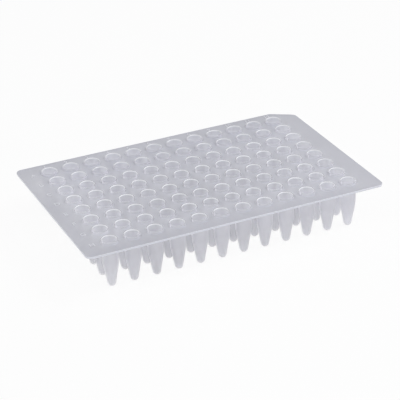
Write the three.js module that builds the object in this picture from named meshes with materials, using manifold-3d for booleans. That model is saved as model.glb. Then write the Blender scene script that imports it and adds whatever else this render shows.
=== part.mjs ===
// A non-skirted 96-well plate, moulded in one piece from frosted natural polypropylene.
//
// A thin flat deck carries a grid of tapered wells. Each well stands above the deck as a raised
// rim that a sealing film grips, hangs below it as a nearly straight neck, and then narrows as a
// cone that seats in a heating block and ends in a round tip. The plate stands on its tips. One
// corner of the deck is cut off, so that it goes into a block or a carrier one way round only.
//
// Units are millimetres and +Z is up. X runs along a row of wells and Y from the last row to the
// first, so the first well is at -X +Y and the cut corner at +X +Y. The origin is at the middle
// of the deck, on the plane that the tips stand on.

import * as THREE from 'three';
import { mergeGeometries, mergeVertices } from 'three/addons/utils/BufferGeometryUtils.js';
import Module from 'manifold-3d';

// ---- Driving dimensions ----

// Grid of wells: the pitch is the standard one that pipettes and blocks are made to.
const columns = 12;
const rows = 8;
const pitch = 9;

// Deck, measured outwards from the centres of the outer wells.
const endMargin = 11.6;
const sideMargin = 8.05;
const deckThickness = 0.9;
const cornerRadius = 2.5;

// Cut corner: how far it reaches along each side, and the rounding where it meets them.
const cutAlongX = 9.2;
const cutAlongY = 5.7;
const cutRadius = 2.5;

// Heights above the plane that the tips stand on.
const plateHeight = 19.6;
const shoulderHeight = 9.6;

// Rim, above the deck.
const rimHeight = 1;
const rimWall = 0.6;

// Well, inside: the bore has a slight draft from the mouth down to the shoulder.
const mouthRadius = 2.75;
const shoulderBoreRadius = 2.6;

// Wall of the neck, and the closed tip: its dome outside, the wall beside it and its floor.
const neckWall = 0.45;
const tipRadius = 1.6;
const tipWall = 0.4;
const tipFloor = 0.5;

// Facets: the sides of each well, the steps round each corner of the deck, and how far round
// each tip's dome its one ring of corners lies.
const wellSides = 8;
const cornerSteps = 4;
const domeRingAngle = THREE.MathUtils.degToRad(50);

// How far a cutting shape reaches past the face that it opens.
const overcut = 1;

// ---- Sizes that follow ----

const deckLength = (columns - 1) * pitch + 2 * endMargin;
const deckWidth = (rows - 1) * pitch + 2 * sideMargin;
const deckTop = plateHeight - rimHeight;
const deckMiddle = deckTop - deckThickness / 2;
const deckUnderside = deckTop - deckThickness;
const rimRadius = mouthRadius + rimWall;
const shoulderRadius = shoulderBoreRadius + neckWall;

/** Inside radius of the drafted bore at a height above the shoulder. */
function boreRadiusAt(z) {
  const draft = (mouthRadius - shoulderBoreRadius) / (plateHeight - shoulderHeight);
  return shoulderBoreRadius + draft * (z - shoulderHeight);
}

/** The dome that closes a tip, as its lowest point and the ring where the cone takes over. */
function domeProfile(radius, lowest) {
  const ringRadius = radius * Math.sin(domeRingAngle);
  const ringRise = radius * (1 - Math.cos(domeRingAngle));
  return [[0, lowest], [ringRadius, lowest + ringRise]];
}

// ---- Solids ----

const wasm = await Module();
wasm.setup();

/** A closed three.js geometry as a manifold solid. */
function solidFrom(geometry) {
  const bare = geometry.clone();
  bare.deleteAttribute('normal');
  bare.deleteAttribute('uv');
  const merged = mergeVertices(bare);
  const mesh = new wasm.Mesh({
    numProp: 3,
    vertProperties: new Float32Array(merged.attributes.position.array),
    triVerts: new Uint32Array(merged.index.array),
  });
  return new wasm.Manifold(mesh);
}

/** A manifold solid as a three.js geometry with flat faces. */
function geometryFrom(solid) {
  const mesh = solid.getMesh();
  const geometry = new THREE.BufferGeometry();
  geometry.setAttribute('position', new THREE.BufferAttribute(mesh.vertProperties, 3));
  geometry.setIndex(new THREE.BufferAttribute(mesh.triVerts, 1));
  return geometry;
}

// ---- Deck ----

/** Walks an outline through its corners, each rounded by its own radius. */
function roundedOutline(corners) {
  const shape = new THREE.Shape();
  corners.forEach(({ point, radius }, i) => {
    const before = corners.at(i - 1).point;
    const after = corners[(i + 1) % corners.length].point;
    const toBefore = before.clone().sub(point).normalize();
    const toAfter = after.clone().sub(point).normalize();
    const halfAngle = Math.acos(toBefore.dot(toAfter)) / 2;
    const setback = radius / Math.tan(halfAngle);
    const bisector = toBefore.clone().add(toAfter).normalize();
    const centre = point.clone().addScaledVector(bisector, radius / Math.sin(halfAngle));
    const start = point.clone().addScaledVector(toBefore, setback).sub(centre).angle();
    const end = point.clone().addScaledVector(toAfter, setback).sub(centre).angle();
    shape.absarc(centre.x, centre.y, radius, start, end, false);
  });
  return shape;
}

/** The deck: a flat plate with three round corners and one cut corner, at +X +Y. */
function makeDeck() {
  const right = deckLength / 2;
  const back = deckWidth / 2;
  const outline = roundedOutline([
    { point: new THREE.Vector2(-right, -back), radius: cornerRadius },
    { point: new THREE.Vector2(right, -back), radius: cornerRadius },
    { point: new THREE.Vector2(right, back - cutAlongY), radius: cutRadius },
    { point: new THREE.Vector2(right - cutAlongX, back), radius: cutRadius },
    { point: new THREE.Vector2(-right, back), radius: cornerRadius },
  ]);
  const geometry = new THREE.ExtrudeGeometry(outline, {
    depth: deckThickness,
    bevelEnabled: false,
    curveSegments: cornerSteps,
  });
  geometry.translate(0, 0, deckUnderside);
  return geometry;
}

// ---- Wells ----

/** Revolves a profile of [radius, height] pairs, with a flat facet facing each side. */
function revolve(profile) {
  const points = profile.map(([radius, height]) => new THREE.Vector2(radius, height));
  const geometry = new THREE.LatheGeometry(points, wellSides, Math.PI / wellSides);
  geometry.rotateX(Math.PI / 2);
  return geometry;
}

/** Copies a geometry to the centre of every well, as one geometry of separate bodies. */
function onEveryWell(geometry) {
  const copies = [];
  for (let row = 0; row < rows; row += 1) {
    for (let column = 0; column < columns; column += 1) {
      const x = (column - (columns - 1) / 2) * pitch;
      const y = (row - (rows - 1) / 2) * pitch;
      copies.push(geometry.clone().translate(x, y, 0));
    }
  }
  return mergeGeometries(copies);
}

/** Outside of a well, solid: dome, cone, neck up into the deck, and the rim above it. */
function makeTube() {
  return revolve([
    ...domeProfile(tipRadius, 0),
    [shoulderRadius, shoulderHeight],
    [boreRadiusAt(deckMiddle) + neckWall, deckMiddle],
    [rimRadius, deckMiddle],
    [rimRadius, plateHeight],
    [0, plateHeight],
  ]);
}

/** Inside of a well: its dome, the cone's bore and the drafted bore up past the rim. */
function makeBore() {
  const top = plateHeight + overcut;
  return revolve([
    ...domeProfile(tipRadius - tipWall, tipFloor),
    [shoulderBoreRadius, shoulderHeight],
    [boreRadiusAt(top), top],
    [0, top],
  ]);
}

// ---- Plate ----

const moulding = solidFrom(makeDeck())
  .add(solidFrom(onEveryWell(makeTube())))
  .subtract(solidFrom(onEveryWell(makeBore())));

const frostedPolypropylene = new THREE.MeshStandardMaterial({
  color: 0xd2d2d8,
  roughness: 0.35,
  metalness: 0,
  flatShading: true,
  transparent: true,
  opacity: 0.75,
});

const plate = new THREE.Mesh(geometryFrom(moulding), frostedPolypropylene);
plate.name = 'well_plate';

const part = new THREE.Group();
part.add(plate);

export default part;
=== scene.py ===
# %% [markdown]
# # A frosted well plate, modelled and lit step by step
#
# The object is a laboratory plate of 8 by 12 wells, moulded in one shot from natural
# polypropylene. A thin flat deck carries 96 small tubes. Each tube stands above the deck as a
# raised rim and hangs below it as a neck, a cone and a round tip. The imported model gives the
# plate's place and size, and this script makes the surface that shows: the rounded lips, the
# fillets at the roots, the softened edges of the deck and the frosted plastic.

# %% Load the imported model
from math import acos, atan2, cos, degrees, pi, radians, sin, sqrt, tan

import bmesh
import bpy
from mathutils import Matrix, Vector


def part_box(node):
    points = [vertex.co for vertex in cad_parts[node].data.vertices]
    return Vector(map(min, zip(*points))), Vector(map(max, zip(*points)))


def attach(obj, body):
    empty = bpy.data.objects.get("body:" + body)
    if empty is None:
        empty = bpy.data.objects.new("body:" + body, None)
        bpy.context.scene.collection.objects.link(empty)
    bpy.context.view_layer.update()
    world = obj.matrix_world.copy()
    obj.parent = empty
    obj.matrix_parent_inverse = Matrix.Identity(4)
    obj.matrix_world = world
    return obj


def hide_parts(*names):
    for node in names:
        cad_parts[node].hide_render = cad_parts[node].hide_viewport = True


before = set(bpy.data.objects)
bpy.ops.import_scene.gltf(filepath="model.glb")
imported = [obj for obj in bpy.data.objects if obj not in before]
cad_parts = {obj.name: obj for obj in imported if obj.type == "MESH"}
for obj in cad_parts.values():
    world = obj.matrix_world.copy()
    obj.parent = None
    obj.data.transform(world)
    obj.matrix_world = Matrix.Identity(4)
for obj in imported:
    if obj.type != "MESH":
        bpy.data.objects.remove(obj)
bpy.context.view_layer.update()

MM = 0.001
low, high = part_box("well_plate")
print("plate in millimetres:", [round(side / MM, 2) for side in high - low])

# %% [markdown]
# ## The sizes that the plate is made to
#
# The grid is the standard one, 9 mm from well to well, because pipettes and heating blocks are
# made to it. Heights are measured from the plane that the tips stand on. The deck's length and
# width and the plate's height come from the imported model, so the two can't drift apart. Only
# the small radii are new here: a steel mould is cut with round tools, so a moulding has no
# perfectly sharp corner.

# %% Sizes of the grid and the deck
COLUMNS = 12
ROWS = 8
PITCH = 9 * MM
RIM_HEIGHT = 1 * MM
DECK_THICKNESS = 0.9 * MM

RIM_TOP = high.z
DECK_TOP = RIM_TOP - RIM_HEIGHT
DECK_UNDERSIDE = DECK_TOP - DECK_THICKNESS
print("deck in millimetres: from", round(DECK_UNDERSIDE / MM, 2), "to", round(DECK_TOP / MM, 2))

# %% [markdown]
# ## Selecting by place
#
# By hand one clicks on the edge to work on. In a script the click is a test in code: every
# vertex, edge or face of the mesh is asked whether it lies at the right place, and the ones
# that answer yes are selected before the operator runs. Everything is deselected first,
# because an operator acts on all that is selected.

# %% Select whole pieces
def deselect_all():
    """Leaves edit mode and deselects every object."""
    if bpy.context.object and bpy.context.object.mode == "EDIT":
        bpy.ops.object.mode_set(mode="OBJECT")
    bpy.ops.object.select_all(action="DESELECT")


def make_active(piece):
    """Makes a piece the only selected object, and the active one."""
    deselect_all()
    piece.select_set(True)
    bpy.context.view_layer.objects.active = piece


deselect_all()
print("selected after deselecting:", len(bpy.context.selected_objects))

# %% Select parts of a piece
SELECT_MODES = {"verts": "VERT", "edges": "EDGE", "faces": "FACE"}
CLOSE = 0.001 * MM


def select_where(piece, kind, test):
    """In edit mode, selects the verts, edges or faces that pass a test, and counts them."""
    bpy.ops.mesh.select_mode(type=SELECT_MODES[kind])
    bpy.ops.mesh.select_all(action="DESELECT")
    mesh = bmesh.from_edit_mesh(piece.data)
    chosen = [element for element in getattr(mesh, kind) if test(element)]
    for element in chosen:
        element.select = True
    mesh.select_flush_mode()
    bmesh.update_edit_mesh(piece.data)
    return len(chosen)


def open_at_height(height):
    """A test for edges that lie at one height and have a face on one side at most."""
    def test(edge):
        return len(edge.link_faces) < 2 and all(abs(v.co.z - height) < CLOSE for v in edge.verts)
    return test


print("places count as the same within", round(CLOSE / MM, 4), "mm")

# %% [markdown]
# ## The half sections of a well
#
# A well is a turned form: its core pin and its cavity were both turned on a lathe. So it is
# drawn as a half section and spun. The skin above the deck starts at the rim's root, goes over
# the rim, rolls over the lip and runs down the bore to the inside of the tip. The skin below
# starts at the neck's root and runs down the neck and the cone to the outside of the tip. A
# cone meets its dome where it is tangent to it, which fixes the cone's slope.

# %% Arcs, tangent cones and softened shoulders
SHOULDER_SOFTENING = 0.5 * MM


def arc(centre_radius, centre_height, radius, start, end, steps):
    """Points of an arc in a half section, as (radius, height). Angles are in degrees."""
    points = []
    for step in range(steps + 1):
        angle = radians(start + (end - start) * step / steps)
        points.append((centre_radius + radius * cos(angle), centre_height + radius * sin(angle)))
    return points


def cone_tilt(top_radius, top_height, dome_radius, dome_height):
    """The angle from the vertical, in degrees, of a cone that is tangent to its dome."""
    rise = top_height - dome_height
    reach = sqrt(rise * rise + top_radius * top_radius)
    return degrees(acos(dome_radius / reach) - atan2(rise, top_radius))


def shoulder_points(upper, corner, lower):
    """Three points that round a corner between two stretches of a half section."""
    corner = Vector(corner)
    above = (Vector(upper) - corner).normalized() * SHOULDER_SOFTENING
    below = (Vector(lower) - corner).normalized() * SHOULDER_SOFTENING
    # A quarter of both ways is the middle of the curve that leaves and joins them smoothly.
    middle = corner + (above + below) / 4
    return [tuple(corner + above), tuple(middle), tuple(corner + below)]


print("shoulders are softened over", round(SHOULDER_SOFTENING / MM, 2), "mm to each side")

# %% The skin above the deck
SHOULDER = 9.6 * MM
MOUTH_RADIUS = 2.75 * MM
BORE_RADIUS = 2.6 * MM
RIM_RADIUS = 3.35 * MM
TIP_BORE_RADIUS = 1.2 * MM
TIP_FLOOR = 0.5 * MM
LIP_RADIUS = 0.35 * MM
RIM_EDGE_RADIUS = 0.12 * MM
RIM_ROOT_RADIUS = 0.2 * MM
FILLET_STEPS = 2
LIP_STEPS = 3
DOME_STEPS = 4


def skin_above():
    """From the rim's root on the deck, over the rim and down the bore to the tip's floor."""
    dome_height = TIP_FLOOR + TIP_BORE_RADIUS
    tilt = cone_tilt(BORE_RADIUS, SHOULDER, TIP_BORE_RADIUS, dome_height)
    root_centre = (RIM_RADIUS + RIM_ROOT_RADIUS, DECK_TOP + RIM_ROOT_RADIUS)
    edge_centre = (RIM_RADIUS - RIM_EDGE_RADIUS, RIM_TOP - RIM_EDGE_RADIUS)
    lip_centre = (MOUTH_RADIUS + LIP_RADIUS, RIM_TOP - LIP_RADIUS)
    root = arc(*root_centre, RIM_ROOT_RADIUS, 270, 180, FILLET_STEPS)
    edge = arc(*edge_centre, RIM_EDGE_RADIUS, 0, 90, FILLET_STEPS)
    lip = arc(*lip_centre, LIP_RADIUS, 90, 180, LIP_STEPS)
    dome = arc(0, dome_height, TIP_BORE_RADIUS, -tilt, -90, DOME_STEPS)
    shoulder = shoulder_points(lip[-1], (BORE_RADIUS, SHOULDER), dome[0])
    return root + edge + lip + shoulder + dome


print("points above the deck:", len(skin_above()))

# %% The skin below the deck
NECK_RADIUS = 3.17 * MM
SHOULDER_RADIUS = 3.05 * MM
TIP_RADIUS = 1.6 * MM
NECK_ROOT_RADIUS = 0.3 * MM


def skin_below():
    """From the neck's root under the deck, down the neck and the cone to the tip."""
    tilt = cone_tilt(SHOULDER_RADIUS, SHOULDER, TIP_RADIUS, TIP_RADIUS)
    root_centre = (NECK_RADIUS + NECK_ROOT_RADIUS, DECK_UNDERSIDE - NECK_ROOT_RADIUS)
    root = arc(*root_centre, NECK_ROOT_RADIUS, 90, 180, FILLET_STEPS)
    dome = arc(0, TIP_RADIUS, TIP_RADIUS, -tilt, -90, DOME_STEPS)
    shoulder = shoulder_points(root[-1], (SHOULDER_RADIUS, SHOULDER), dome[0])
    return root + shoulder + dome


print("points below the deck:", len(skin_below()))

# %% [markdown]
# ## One square of the plate
#
# The plate is one 9 mm square repeated. In each square the two half sections are drawn as
# chains of edges, one extruded vertex at a time, and spun round the well's axis. Then the flat
# of the deck is filled in between the square's outline and the root of the rim, and once more
# under the deck. Modelling one square and repeating it keeps every well the same.

# %% Draw and spin the half sections
AROUND = 32


def spin_skin(name, points):
    """Draws a half section edge by edge, spins it round the Z axis and closes its seam."""
    deselect_all()
    start = (points[0][0], 0, points[0][1])
    bpy.ops.mesh.primitive_plane_add(size=MM, location=start)
    piece = bpy.context.object
    piece.name = name
    bpy.ops.object.mode_set(mode="EDIT")
    bpy.ops.mesh.merge(type="CENTER")
    for here, there in zip(points, points[1:]):
        step = (there[0] - here[0], 0, there[1] - here[1])
        bpy.ops.mesh.extrude_vertices_move(TRANSFORM_OT_translate={"value": step})
    bpy.ops.mesh.select_all(action="SELECT")
    bpy.ops.mesh.spin(steps=AROUND, angle=2 * pi, center=(0, 0, 0), axis=(0, 0, 1))
    bpy.ops.mesh.select_all(action="SELECT")
    bpy.ops.mesh.remove_doubles(threshold=CLOSE)
    bpy.ops.object.mode_set(mode="OBJECT")
    bpy.ops.object.transform_apply(location=True, rotation=True, scale=True)
    print(name, "is spun from", len(points), "points into", len(piece.data.polygons), "faces")
    return piece


above = spin_skin("rim_and_bore", skin_above())
below = spin_skin("neck_and_cone", skin_below())

# %% Fill in the flat of the deck round each skin
def square_round(piece, height):
    """Adds the flat of one 9 mm square, round the opening that a spun skin leaves at a height."""
    make_active(piece)
    bpy.ops.object.mode_set(mode="EDIT")
    bpy.ops.mesh.select_mode(type="FACE")
    bpy.ops.mesh.select_all(action="DESELECT")
    bpy.ops.mesh.primitive_plane_add(size=PITCH, location=(0, 0, height))
    bpy.ops.mesh.delete(type="ONLY_FACE")
    found = select_where(piece, "edges", open_at_height(height))
    bpy.ops.mesh.fill(use_beauty=True)
    bpy.ops.object.mode_set(mode="OBJECT")
    print(piece.name, "is filled between", found, "edges")


square_round(above, DECK_TOP)
square_round(below, DECK_UNDERSIDE)

# %% [markdown]
# ## Repeat the square over the grid
#
# Two Array modifiers do what the mould maker's indexing table does: 12 squares along the row,
# then 8 rows. Merging is on, so neighbouring squares share their corners and the deck becomes
# one sheet.

# %% Array the square into 8 rows of 12
def repeat(piece, count, step):
    """Copies a piece along a line with a merged Array modifier, and applies it."""
    make_active(piece)
    bpy.ops.object.modifier_add(type="ARRAY")
    array = piece.modifiers[-1]
    array.count = count
    array.use_relative_offset = False
    array.use_constant_offset = True
    array.constant_offset_displace = step
    array.use_merge_vertices = True
    array.merge_threshold = CLOSE
    bpy.ops.object.modifier_apply(modifier=array.name)


def spread_over_grid(piece):
    """Moves a square to the first column of the last row and repeats it over the plate."""
    make_active(piece)
    bpy.ops.object.mode_set(mode="EDIT")
    bpy.ops.mesh.select_all(action="SELECT")
    corner = (-(COLUMNS - 1) / 2 * PITCH, -(ROWS - 1) / 2 * PITCH, 0)
    bpy.ops.transform.translate(value=corner)
    bpy.ops.object.mode_set(mode="OBJECT")
    repeat(piece, COLUMNS, (PITCH, 0, 0))
    repeat(piece, ROWS, (0, PITCH, 0))
    print(piece.name, "has", len(piece.data.polygons), "faces on the grid")


spread_over_grid(above)
spread_over_grid(below)

# %% [markdown]
# ## The deck's outline
#
# Beyond the wells the deck is a bare margin with three round corners and one cut corner, which
# keys the plate in its block. It starts as a plane at the deck's full size. A bisect cuts the
# corner, vertex bevels round the corners, an extrude gives the thickness, and an edge bevel
# breaks the sharp edges, as the mould's parting does. The big top and bottom faces are then
# deleted, because the grid takes their place.

# %% Where the outline's corners are
CUT_ALONG_X = 9.2 * MM
CUT_ALONG_Y = 5.7 * MM
CUT_POINT = Vector((high.x, high.y - CUT_ALONG_Y, DECK_UNDERSIDE))
CUT_NORMAL = Vector((CUT_ALONG_Y, CUT_ALONG_X, 0)).normalized()
CUT_TURN = atan2(CUT_ALONG_X, CUT_ALONG_Y)


def on_square_corner(vertex):
    """True for a vertex at one of the three square corners."""
    return abs(vertex.co.x) > high.x - CLOSE and abs(vertex.co.y) > high.y - CLOSE


def on_cut(vertex):
    """True for a vertex at either end of the cut corner."""
    return abs((vertex.co - CUT_POINT).dot(CUT_NORMAL)) < CLOSE


def on_cut_right(vertex):
    """True for the end of the cut that lies on the right side."""
    return on_cut(vertex) and vertex.co.x > high.x - CLOSE


def on_cut_back(vertex):
    """True for the end of the cut that lies on the back side."""
    return on_cut(vertex) and vertex.co.y > high.y - CLOSE


print("the cut turns by", round(degrees(CUT_TURN), 1), "degrees at its right end")

# %% Cut and round the outline
CORNER_RADIUS = 2.5 * MM
CORNER_SEGMENTS = 8
ROUND = 0.5


def setback(turn):
    """How far from its corner a rounding starts, for a corner of that turn."""
    return CORNER_RADIUS * tan(turn / 2)


def round_corner(piece, test, start):
    """Rounds the vertices of a flat outline that pass a test, from some way before them."""
    select_where(piece, "verts", test)
    bpy.ops.mesh.bevel(
        affect="VERTICES", offset_type="OFFSET", offset=start, segments=CORNER_SEGMENTS, profile=ROUND,
    )


deselect_all()
bpy.ops.mesh.primitive_plane_add(size=1, location=(0, 0, DECK_UNDERSIDE))
margin = bpy.context.object
margin.name = "deck_margin"
margin.scale = (high.x - low.x, high.y - low.y, 1)
bpy.ops.object.transform_apply(location=True, rotation=True, scale=True)
bpy.ops.object.mode_set(mode="EDIT")
bpy.ops.mesh.select_all(action="SELECT")
bpy.ops.mesh.bisect(plane_co=CUT_POINT, plane_no=CUT_NORMAL, clear_outer=True)
round_corner(margin, on_square_corner, CORNER_RADIUS)
round_corner(margin, on_cut_right, setback(CUT_TURN))
round_corner(margin, on_cut_back, setback(pi / 2 - CUT_TURN))
bpy.ops.object.mode_set(mode="OBJECT")
print("points round the outline:", len(margin.data.vertices))

# %% Thicken the outline and break its edges
DECK_EDGE_RADIUS = 0.14 * MM
EDGE_SEGMENTS = 2
BROAD_FACE = 1000 * MM * MM


def is_level(edge):
    """True for an edge that lies level, round the top or the underside."""
    return abs(edge.verts[0].co.z - edge.verts[1].co.z) < CLOSE


def is_broad(face):
    """True for the big flat faces, whose place the grid takes."""
    return face.calc_area() > BROAD_FACE


bpy.ops.object.mode_set(mode="EDIT")
bpy.ops.mesh.select_all(action="SELECT")
lift = (0, 0, DECK_TOP - DECK_UNDERSIDE)
bpy.ops.mesh.extrude_region_move(TRANSFORM_OT_translate={"value": lift})
select_where(margin, "edges", is_level)
bpy.ops.mesh.bevel(affect="EDGES", offset=DECK_EDGE_RADIUS, segments=EDGE_SEGMENTS, profile=ROUND)
broad = select_where(margin, "faces", is_broad)
bpy.ops.mesh.delete(type="FACE")
bpy.ops.object.mode_set(mode="OBJECT")
print(margin.name, "lost", broad, "broad faces and keeps", len(margin.data.polygons))

# %% [markdown]
# ## One closed moulding
#
# The margin and the two grids are joined into one mesh. At the deck's top and at its underside
# two open outlines remain, the margin's and the grid's, and a fill closes the flat between
# them. Then the doubles are merged and the normals are made to point outwards. A count of open
# edges has to come to nought: light refracts wrongly through a skin that has a gap.

# %% Join and fill the moulding
make_active(margin)
above.select_set(True)
below.select_set(True)
bpy.ops.object.join()
plate = margin
plate.name = "moulded_plate"
plate.data.name = "moulded_plate"

bpy.ops.object.mode_set(mode="EDIT")
for height in (DECK_TOP, DECK_UNDERSIDE):
    print("margin filled between", select_where(plate, "edges", open_at_height(height)), "edges")
    bpy.ops.mesh.fill(use_beauty=True)
bpy.ops.mesh.select_all(action="SELECT")
bpy.ops.mesh.remove_doubles(threshold=CLOSE)
bpy.ops.mesh.normals_make_consistent(inside=False)
bpy.ops.object.mode_set(mode="OBJECT")

# %% Check that the moulding is closed
def count_open_edges():
    """The number of the plate's edges that don't have exactly two faces."""
    bpy.ops.object.mode_set(mode="EDIT")
    found = select_where(plate, "edges", lambda edge: len(edge.link_faces) != 2)
    bpy.ops.object.mode_set(mode="OBJECT")
    return found


triangles = sum(len(face.vertices) - 2 for face in plate.data.polygons)
print("open edges:", count_open_edges(), "triangles:", triangles)

# %% [markdown]
# ## Clouds, patches and satin
#
# No moulding is perfectly even, so three noises vary the plastic. Broad clouds in the colour are
# where the melt cooled at different speeds. Patches in the roughness are where the mould is worn
# smoother. A fine bump is the satin that spark erosion leaves on the steel. All three read
# Object coordinates, which are the plate's own metres, so they don't slide when it is moved. A
# scale of 90 is then 90 clouds to the metre, which makes each about a well wide.

# %% A noise, and clouds in the colour
NOISE_DETAIL = 3
CLOUD_SCALE = 90
CLOUD_DARKENING = 0.9


def noise(tree, scale):
    """A noise of a scale, in the plate's own metres. Gives its socket."""
    place = tree.nodes.new("ShaderNodeTexCoord")
    pattern = tree.nodes.new("ShaderNodeTexNoise")
    pattern.inputs["Scale"].default_value = scale
    pattern.inputs["Detail"].default_value = NOISE_DETAIL
    tree.links.new(place.outputs["Object"], pattern.inputs["Vector"])
    return pattern.outputs["Fac"]


def cloudy_colour(tree, colour):
    """A colour with slightly darker clouds in it. Gives its socket."""
    mix = tree.nodes.new("ShaderNodeMix")
    mix.data_type = "RGBA"
    mix.inputs["A"].default_value = (*colour, 1)
    mix.inputs["B"].default_value = (*(channel * CLOUD_DARKENING for channel in colour), 1)
    tree.links.new(noise(tree, CLOUD_SCALE), mix.inputs["Factor"])
    return mix.outputs["Result"]


print("one cloud is about", round(1 / CLOUD_SCALE / MM, 1), "mm wide")

# %% Patches in the roughness, and the satin
PATCH_SCALE = 260
SMOOTHEST = 0.2
ROUGHEST = 0.3
SATIN_SCALE = 2500
SATIN_DEPTH = 0.02 * MM
SATIN_STRENGTH = 0.15


def patchy_roughness(tree):
    """A satin roughness with smoother and rougher patches. Gives its socket."""
    spread = tree.nodes.new("ShaderNodeMapRange")
    spread.inputs["To Min"].default_value = SMOOTHEST
    spread.inputs["To Max"].default_value = ROUGHEST
    tree.links.new(noise(tree, PATCH_SCALE), spread.inputs["Value"])
    return spread.outputs["Result"]


def satin_bump(tree):
    """The fine bump of a spark-eroded mould. Gives its socket."""
    bump = tree.nodes.new("ShaderNodeBump")
    bump.inputs["Strength"].default_value = SATIN_STRENGTH
    bump.inputs["Distance"].default_value = SATIN_DEPTH
    tree.links.new(noise(tree, SATIN_SCALE), bump.inputs["Height"])
    return bump.outputs["Normal"]


patch_width = round(1 / PATCH_SCALE / MM, 1)
satin_width = round(1 / SATIN_SCALE / MM, 1)
print("one patch is about", patch_width, "mm wide, and one grain of the satin", satin_width, "mm")

# %% [markdown]
# ## Milkier at a slant
#
# A wall that is looked through at a slant puts more plastic in the way. Its milky share rises
# there, so a tube or a rim shows a whiter outline, as a milky drinking glass does. The Facing
# output of a Layer Weight node is 0 where a surface is seen square on and 1 where it is seen
# edge on. A Map Range node turns the stretch between two of its values into a rise between two
# shares.

# %% A share that rises at a slant
SLANT_STARTS = 0.4
SLANT_ENDS = 0.9


def milkier_at_a_slant(tree, square_on, slanting):
    """A milky share that rises where a wall is looked through at a slant. Gives its socket."""
    slant = tree.nodes.new("ShaderNodeLayerWeight")
    rise = tree.nodes.new("ShaderNodeMapRange")
    rise.inputs["From Min"].default_value = SLANT_STARTS
    rise.inputs["From Max"].default_value = SLANT_ENDS
    rise.inputs["To Min"].default_value = square_on
    rise.inputs["To Max"].default_value = slanting
    tree.links.new(slant.outputs["Facing"], rise.inputs["Value"])
    return rise.outputs["Result"]


print("the share rises between", SLANT_STARTS, "and", SLANT_ENDS, "of the way to edge on")

# %% [markdown]
# ## Milky margins, with painted shade
#
# Towards the margins no core pins cool the melt. It freezes more slowly there and grows larger
# crystals, so it is milkier. Its deck is also painted a little darker there, as painted shade
# that stands in for the plate's shadow on the floor seen through the margins. Both reach
# furthest in at the back and on the right and least at the front; for the milkiness that
# follows the melt, which fills the back and the right last and comes in at the front.
# Each of the four sides gets a smooth ramp along X or Y, and the largest of the four ramps tells
# how near the margin a place is.

# %% Where the margins get milky
MARGIN_RAMPS = (
    ("X", -49 * MM, -62 * MM),
    ("X", 40 * MM, 58 * MM),
    ("Y", 8 * MM, 37 * MM),
    ("Y", -30 * MM, -38 * MM),
)
for axis, start, end in MARGIN_RAMPS:
    print("margin ramp along", axis, "from", round(start / MM), "to", round(end / MM), "mm")

# %% How near the margin a place is
def largest(tree, sockets):
    """The largest of the values of some sockets. Gives its socket."""
    found = sockets[0]
    for socket in sockets[1:]:
        either = tree.nodes.new("ShaderNodeMath")
        either.operation = "MAXIMUM"
        tree.links.new(found, either.inputs[0])
        tree.links.new(socket, either.inputs[1])
        found = either.outputs["Value"]
    return found


def towards_the_margin(tree):
    """0 over most of the wells, rising smoothly to 1 at the margins. Gives its socket."""
    place = tree.nodes.new("ShaderNodeTexCoord")
    parts = tree.nodes.new("ShaderNodeSeparateXYZ")
    tree.links.new(place.outputs["Object"], parts.inputs["Vector"])
    sides = []
    for axis, start, end in MARGIN_RAMPS:
        side = tree.nodes.new("ShaderNodeMapRange")
        side.interpolation_type = "SMOOTHSTEP"
        side.inputs["From Min"].default_value = start
        side.inputs["From Max"].default_value = end
        tree.links.new(parts.outputs[axis], side.inputs["Value"])
        sides.append(side.outputs["Result"])
    return largest(tree, sides)


print("the margin is told by the largest of", len(MARGIN_RAMPS), "ramps")

# %% A milkier margin, and painted shade on its deck
# MARGIN_SHADE multiplies the deck's colour towards the margins: painted shade.
MARGIN_SHADE = (0.86, 0.86, 0.875, 1)


def give(tree, value, socket):
    """Sets a socket to a number, or links another socket to it."""
    if isinstance(value, bpy.types.NodeSocket):
        tree.links.new(value, socket)
    else:
        socket.default_value = value


def milkier_margin(tree, margin, share, at_margin):
    """A milky share that passes into another one towards the margins. Gives its socket."""
    passage = tree.nodes.new("ShaderNodeMapRange")
    tree.links.new(margin, passage.inputs["Value"])
    give(tree, share, passage.inputs["To Min"])
    passage.inputs["To Max"].default_value = at_margin
    return passage.outputs["Result"]


def painted_margin_shade(tree, margin, colour):
    """A colour with painted shade, darker towards the margins. Gives its socket."""
    mix = tree.nodes.new("ShaderNodeMix")
    mix.data_type = "RGBA"
    mix.blend_type = "MULTIPLY"
    mix.inputs["B"].default_value = MARGIN_SHADE
    tree.links.new(margin, mix.inputs["Factor"])
    tree.links.new(colour, mix.inputs["A"])
    return mix.outputs["Result"]


print("the margins keep", MARGIN_SHADE[:3], "of the deck's colour")

# %% [markdown]
# ## Frosted polypropylene
#
# Natural polypropylene without pigment is milky, because small crystals in it scatter the light.
# Three things happen to light that meets it, and two Mix Shader nodes mix the three. Part is
# scattered back from the satin skin, which is the Principled shader. Part is scattered onwards
# and leaves on the far side, which is the Translucent shader: it makes the tubes glow from
# behind. Those two together are the milk. The rest goes straight through, which is the
# Transparent shader: it lets the next tube show faintly.

# %% The plastic, as a recipe for every finish
REFRACTIVE_INDEX = 1.49
SHEEN = 0.5
SHEEN_ROUGHNESS = 0.4
DECK_FINISHES = ("frosted_deck", "frosted_underside")


def mixed(tree, share, first, second):
    """A mix of two shaders, with a share of the second. Gives its socket."""
    mix = tree.nodes.new("ShaderNodeMixShader")
    give(tree, share, mix.inputs["Fac"])
    tree.links.new(first, mix.inputs[1])
    tree.links.new(second, mix.inputs[2])
    return mix.outputs["Shader"]


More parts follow.
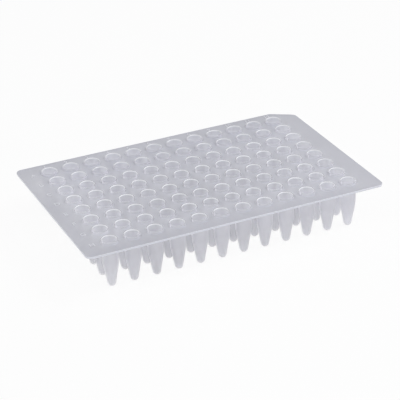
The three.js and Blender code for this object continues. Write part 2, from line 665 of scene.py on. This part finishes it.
def frosted_polypropylene(name, square_on, slanting, at_margin, onwards, colour):
    """Plastic with a milky share, of which a share scatters the light onwards."""
    material = bpy.data.materials.new(name)
    material.use_nodes = True
    tree = material.node_tree
    skin = tree.nodes["Principled BSDF"]
    skin.inputs["IOR"].default_value = REFRACTIVE_INDEX
    skin.inputs["Sheen Weight"].default_value = SHEEN
    skin.inputs["Sheen Roughness"].default_value = SHEEN_ROUGHNESS
    glow = tree.nodes.new("ShaderNodeBsdfTranslucent")
    clear = tree.nodes.new("ShaderNodeBsdfTransparent")
    body = cloudy_colour(tree, colour)
    milky = square_on
    if slanting != square_on:
        milky = milkier_at_a_slant(tree, square_on, slanting)
    if at_margin != square_on:
        margin = towards_the_margin(tree)
        milky = milkier_margin(tree, margin, milky, at_margin)
        # The deck's finishes take painted shade towards the margins.
        if name in DECK_FINISHES:
            body = painted_margin_shade(tree, margin, body)
    tree.links.new(body, skin.inputs["Base Color"])
    tree.links.new(body, glow.inputs["Color"])
    tree.links.new(patchy_roughness(tree), skin.inputs["Roughness"])
    tree.links.new(satin_bump(tree), skin.inputs["Normal"])
    milk = mixed(tree, onwards, skin.outputs["BSDF"], glow.outputs["BSDF"])
    shown = mixed(tree, milky, clear.outputs["BSDF"], milk)
    tree.links.new(shown, tree.nodes["Material Output"].inputs["Surface"])
    print(name, "has", len(tree.nodes), "nodes")
    return material


# %% [markdown]
# ## One plastic, eight finishes
#
# How milky the same plastic looks depends on how much of it lies behind the surface. The wall
# of a tube is half as thick as the deck, so it hides less and passes more light on. The
# underside of the deck is shaded by the tubes around it and only veils them, so that they show
# through the deck. The outside of a rim is short and thin, and nearly vanishes where it is seen
# square on. The plastic is one colour, but each finish is a lighter or darker copy of it, as
# painted light. The lips and the deck's edge are painted lightest of all, as painted highlights.
# The bores, the tubes and the underside are painted lighter than the deck, which lifts the shade
# inside the wells and under the deck. The marks are painted lighter than the deck, and the rims
# darker than the tubes.
#
# Each finish gives the milky share of a wall seen square on, at a slant and at the margins, then
# the share of that milk which is scattered onwards, and the colour.

# %% The finishes
# The lip's and the edge's high milky shares, with their light colours, paint highlights along them.
MILK = {
    "frosted_tube": {"square_on": 0.42, "slanting": 1.00, "at_margin": 0.84, "onwards": 0.75},
    "bore_painted_lighter": {"square_on": 0.55, "slanting": 0.80, "at_margin": 0.84, "onwards": 0.62},
    "frosted_deck": {"square_on": 0.585, "slanting": 0.585, "at_margin": 0.80, "onwards": 0.20},
    "frosted_underside": {"square_on": 0.24, "slanting": 0.24, "at_margin": 0.80, "onwards": 0.60},
    "frosted_rim": {"square_on": 0.10, "slanting": 1.00, "at_margin": 0.84, "onwards": 0.40},
    "lip_painted_highlight": {"square_on": 0.97, "slanting": 0.97, "at_margin": 0.97, "onwards": 0.00},
    "edge_painted_highlight": {"square_on": 0.92, "slanting": 0.92, "at_margin": 0.92, "onwards": 0.10},
    "frosted_mark": {"square_on": 0.90, "slanting": 0.90, "at_margin": 0.90, "onwards": 0.10},
}
# Painted light: lighter and darker copies of one plastic's colour. The lip and the edge carry painted
# highlights, the bore, tube and underside are painted lighter against the shade in the wells and under
# the deck, the mark is painted lighter and the rim darker.
COLOURS = {
    "frosted_tube": (0.98, 0.975, 0.985),
    "bore_painted_lighter": (0.93, 0.935, 0.98),
    "frosted_deck": (0.70, 0.705, 0.765),
    "frosted_underside": (0.94, 0.94, 0.96),
    "frosted_rim": (0.78, 0.785, 0.83),
    "lip_painted_highlight": (0.96, 0.965, 0.99),
    "edge_painted_highlight": (0.88, 0.89, 0.96),
    "frosted_mark": (0.90, 0.905, 0.95),
}
finishes = {}
for name, shares in MILK.items():
    finishes[name] = frosted_polypropylene(name, colour=COLOURS[name], **shares)
print("finishes:", len(finishes))

# %% [markdown]
# ## Which finish a face takes
#
# The moulding is one mesh, so each of its faces is told by its place and by the way it faces
# which finish it takes. Outside the grid of wells a face is flat deck or edge. Inside the grid
# its distance from the nearest well's axis and its height decide. A wall that faces the axis
# belongs to the bore, and a wall that faces away from it to the tube. How level a face lies is
# the upward part of its normal, which is 1 for a level face and 0 for an upright wall.

# %% Tell the finish of a face from its place
GRID_X = COLUMNS / 2 * PITCH
GRID_Y = ROWS / 2 * PITCH
LIP_OUTSIDE = MOUTH_RADIUS + LIP_RADIUS
BORE_REACH = MOUTH_RADIUS + 0.2 * MM
LEVEL_ON_MARGIN = 0.9
LEVEL_ON_RIM = 0.85


def from_axis(place):
    """The way from the axis of the nearest well to a place, seen from above."""
    return Vector(((place.x / PITCH) % 1 - 0.5, (place.y / PITCH) % 1 - 0.5)) * PITCH


def finish_of_margin(face):
    """The finish of a face outside the grid of wells: flat of the deck, or its edge."""
    # The deck's edge takes the finish that is painted as a highlight.
    if abs(face.normal.z) < LEVEL_ON_MARGIN:
        return "edge_painted_highlight"
    return "frosted_deck" if face.normal.z > 0 else "frosted_underside"


def finish_of(face):
    """The name of the finish that a face of the plate takes."""
    place = face.center
    if abs(place.x) > GRID_X or abs(place.y) > GRID_Y:
        return finish_of_margin(face)
    outwards = from_axis(place)
    radius = outwards.length
    at_lip_height = place.z > RIM_TOP - LIP_RADIUS - CLOSE
    # The lip takes the finish that is painted as a highlight.
    if at_lip_height and radius < LIP_OUTSIDE and face.normal.z < LEVEL_ON_RIM:
        return "lip_painted_highlight"
    if place.z > DECK_TOP + CLOSE and BORE_REACH < radius < RIM_RADIUS:
        return "frosted_rim"
    if place.z > DECK_TOP - CLOSE and radius > BORE_REACH:
        return "frosted_deck"
    if place.z > DECK_UNDERSIDE - CLOSE and radius > BORE_REACH:
        return "frosted_underside"
    # The bore takes the finish that is painted lighter against the shade in the well.
    if face.normal.xy.dot(outwards) < 0 or (radius < TIP_BORE_RADIUS and face.normal.z > 0):
        return "bore_painted_lighter"
    return "frosted_tube"


print("the grid reaches", round(GRID_X / MM), "and", round(GRID_Y / MM), "mm from the middle")

# %% Give every face its finish
plate.data.materials.clear()
for finish in finishes.values():
    plate.data.materials.append(finish)
slot_of = {name: number for number, name in enumerate(finishes)}
for face in plate.data.polygons:
    face.material_index = slot_of[finish_of(face)]
for name, number in slot_of.items():
    print(name, sum(face.material_index == number for face in plate.data.polygons), "faces")

# %% [markdown]
# ## Row letters and column numbers
#
# A well is named by its row and its column, such as B7. The letters A to H stand beside the
# first column and the numbers 1 to 12 behind the first row. They are cut into the mould, so on
# the plate they stand a little proud. Here each is a text object, which becomes a mesh and is
# joined to the moulding, because on the real plate they are the same plastic. Their feet are
# sunk into the deck, so that no two faces lie in one plane.

# %% Write one mark
PROUD = 0.15 * MM
SUNK = 0.05 * MM
STEPS_IN_A_CURVE = 3


def write_mark(words, size, x, y):
    """One letter or number, upright for a reader in front of the plate. Gives its mesh object."""
    deselect_all()
    # A text is thickened upwards and downwards alike, so it is placed at half its height.
    bpy.ops.object.text_add(location=(x, y, DECK_TOP + (PROUD - SUNK) / 2))
    mark = bpy.context.object
    mark.data.body = words
    mark.data.size = size
    mark.data.align_x = "CENTER"
    mark.data.align_y = "CENTER"
    mark.data.resolution_u = STEPS_IN_A_CURVE
    mark.data.extrude = (PROUD + SUNK) / 2
    bpy.ops.object.convert(target="MESH")
    bpy.ops.object.transform_apply(location=True, rotation=True, scale=True)
    mark.data.materials.clear()
    mark.data.materials.append(finishes["frosted_mark"])
    return mark


print("marks stand", round(PROUD / MM, 2), "mm proud")

# %% Write all the letters and numbers
ROW_LETTERS = "ABCDEFGH"
LETTER_SIZE = 3.2 * MM
NUMBER_SIZE = 2.9 * MM
LETTERS_X = low.x + 4.9 * MM
NUMBERS_Y = high.y - 2.5 * MM

marks = []
for row, letter in enumerate(ROW_LETTERS):
    y = ((ROWS - 1) / 2 - row) * PITCH
    marks.append(write_mark(letter, LETTER_SIZE, LETTERS_X, y))
for column in range(COLUMNS):
    x = (column - (COLUMNS - 1) / 2) * PITCH
    marks.append(write_mark(str(column + 1), NUMBER_SIZE, x, NUMBERS_Y))
print("marks:", len(marks), "with", sum(len(mark.data.polygons) for mark in marks), "faces")

# %% Join the marks to the moulding
make_active(plate)
for mark in marks:
    mark.select_set(True)
bpy.ops.object.join()
bpy.ops.object.mode_set(mode="EDIT")
bpy.ops.mesh.select_all(action="SELECT")
bpy.ops.mesh.remove_doubles(threshold=CLOSE)
bpy.ops.object.mode_set(mode="OBJECT")
print("open edges with the marks:", count_open_edges(), "slots:", len(plate.data.materials))

# %% [markdown]
# ## Shading
#
# Smooth shading hides the facets of the spun skins, and only edges of more than 50 degrees, as
# round the letters, stay sharp. Weighted normals then let each broad flat face win over the
# narrow fillet beside it, so that the deck looks flat right up to the rims.

# %% Shade the moulding smooth
SHARPEST = radians(50)
make_active(plate)
bpy.ops.object.shade_smooth_by_angle(angle=SHARPEST)
bpy.ops.object.modifier_add(type="WEIGHTED_NORMAL")
plate.modifiers[-1].keep_sharp = True
bpy.ops.object.modifier_apply(modifier=plate.modifiers[-1].name)

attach(plate, "root")
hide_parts("well_plate")
print(plate.name, "rides on root with", len(plate.data.polygons), "faces")

# %% [markdown]
# ## White surroundings
#
# The plate stands on white paper in front of a white wall. Paper that is only lit looks grey
# beside a pale object, so where it is seen directly, in a reflection or through the plastic, it
# is shown white, and a small share of it stays plain paper that takes the plate's shadow. The
# same switch shows the world white while it lights the plate only softly.

# %% A switch for what is seen directly
SEEN_BY = ("Is Camera Ray", "Is Glossy Ray", "Is Transmission Ray")


def seen_directly(tree):
    """A socket that is 1 for what the eye sees directly, in a reflection or through plastic."""
    path = tree.nodes.new("ShaderNodeLightPath")
    return largest(tree, [path.outputs[ray] for ray in SEEN_BY])


print("white is shown to:", ", ".join(SEEN_BY))

# %% The floor
FLOOR_SIDE = 6
PAPER = (0.85, 0.85, 0.85, 1)
WHITE = (1, 1, 1, 1)
WHITE_STRENGTH = 1
WHITE_SHARE = 0.93


def white_floor():
    """Paper that is shown white and keeps a share of its shadow."""
    material = bpy.data.materials.new("white_paper")
    material.use_nodes = True
    tree = material.node_tree
    tree.nodes.remove(tree.nodes["Principled BSDF"])
    paper = tree.nodes.new("ShaderNodeBsdfDiffuse")
    paper.inputs["Color"].default_value = PAPER
    white = tree.nodes.new("ShaderNodeEmission")
    white.inputs["Color"].default_value = WHITE
    white.inputs["Strength"].default_value = WHITE_STRENGTH
    share = tree.nodes.new("ShaderNodeMath")
    share.operation = "MULTIPLY"
    share.inputs[1].default_value = WHITE_SHARE
    tree.links.new(seen_directly(tree), share.inputs[0])
    shown = mixed(tree, share.outputs["Value"], paper.outputs["BSDF"], white.outputs["Emission"])
    tree.links.new(shown, tree.nodes["Material Output"].inputs["Surface"])
    return material


deselect_all()
bpy.ops.mesh.primitive_plane_add(size=FLOOR_SIDE, location=(0, 0, 0))
floor = bpy.context.object
floor.name = "floor"
floor.data.materials.append(white_floor())
print(floor.name, "is", FLOOR_SIDE, "m wide")

# %% The world
SKY_COLOUR = (0.97, 0.98, 1.0, 1)
SKY_STRENGTH = 0.35

world = bpy.data.worlds.new("white_room")
bpy.context.scene.world = world
world.use_nodes = True
tree = world.node_tree
sky = tree.nodes["Background"]
sky.inputs["Color"].default_value = SKY_COLOUR
sky.inputs["Strength"].default_value = SKY_STRENGTH
wall = tree.nodes.new("ShaderNodeBackground")
wall.inputs["Color"].default_value = WHITE
wall.inputs["Strength"].default_value = WHITE_STRENGTH
shown = mixed(tree, seen_directly(tree), sky.outputs["Background"], wall.outputs["Background"])
tree.links.new(shown, tree.nodes["World Output"].inputs["Surface"])
print("the world lights the plate with a strength of", SKY_STRENGTH)

# %% [markdown]
# ## Lamps
#
# Pale plastic shows its form only by soft differences, so the light comes from large softboxes.
# The key stands high in front and lights the back of each lip, which faces it. One high box to
# each side draws the legs of the lips, the right one more strongly. Three weak, low fills, in
# front and at the sides, reach under the deck and light the tubes. Together with the world they
# bring a white card on the deck to about white, so a colour renders about as it is written.
# Places are in metres, from the middle of the plate.

# %% Softboxes and fills
ON_PLATE = (0, 0, 0.015)
UNDER_DECK = (0, 0, 0.01)


def softbox(name, place, aim, width, height, watts):
    """A soft area lamp that points at a place."""
    deselect_all()
    bpy.ops.object.light_add(type="AREA", location=place)
    lamp = bpy.context.object
    lamp.name = name
    lamp.data.shape = "RECTANGLE"
    lamp.data.size = width
    lamp.data.size_y = height
    lamp.data.energy = watts
    beam = Vector(aim) - Vector(place)
    lamp.rotation_euler = beam.to_track_quat("-Z", "Y").to_euler()
    print(name, "at", round(beam.length, 2), "m with", watts, "W")


softbox("key_softbox", (-0.22, -0.42, 0.85), ON_PLATE, width=0.9, height=0.4, watts=2.2)
softbox("left_softbox", (-0.62, -0.05, 0.78), ON_PLATE, width=0.6, height=0.4, watts=1.0)
softbox("right_softbox", (0.60, -0.25, 0.78), ON_PLATE, width=0.6, height=0.4, watts=3.8)
softbox("front_fill", (-0.40, -0.90, 0.14), UNDER_DECK, width=0.3, height=0.22, watts=0.75)
softbox("left_fill", (-0.95, 0.10, 0.13), UNDER_DECK, width=0.6, height=0.2, watts=0.25)
softbox("right_fill", (0.90, -0.35, 0.13), UNDER_DECK, width=0.6, height=0.2, watts=0.25)

# %% [markdown]
# ## Camera
#
# A long lens stands in front and to the left, 27 degrees above the plate. From there the near
# tubes show whole below the deck, and the cut corner is at the far right. The camera's three
# axes are given as directions, which makes its turn exact.

# %% Place the camera
CAMERA_FROM_PLATE = Vector((-223.33, -505.48, 276.15)) * MM
LOOKS_ALONG = Vector((0.35999, 0.81108, -0.46103))
ITS_RIGHT = Vector((0.90667, -0.42062, -0.03202))
ITS_UP = Vector((0.21989, 0.40647, 0.88681))
LENS = 142.79
SENSOR_WIDTH = 36
NEAREST_SEEN = 0.01
FURTHEST_SEEN = 20

deselect_all()
bpy.ops.object.camera_add(location=Vector((0, 0, RIM_TOP)) + CAMERA_FROM_PLATE)
camera = bpy.context.object
camera.rotation_euler = Matrix((ITS_RIGHT, ITS_UP, -LOOKS_ALONG)).transposed().to_euler()
camera.data.lens = LENS
camera.data.sensor_width = SENSOR_WIDTH
camera.data.clip_start = NEAREST_SEEN
camera.data.clip_end = FURTHEST_SEEN
bpy.context.scene.camera = camera
bpy.context.scene.view_settings.view_transform = "Standard"
print("camera distance in millimetres:", round(CAMERA_FROM_PLATE.length / MM, 1))
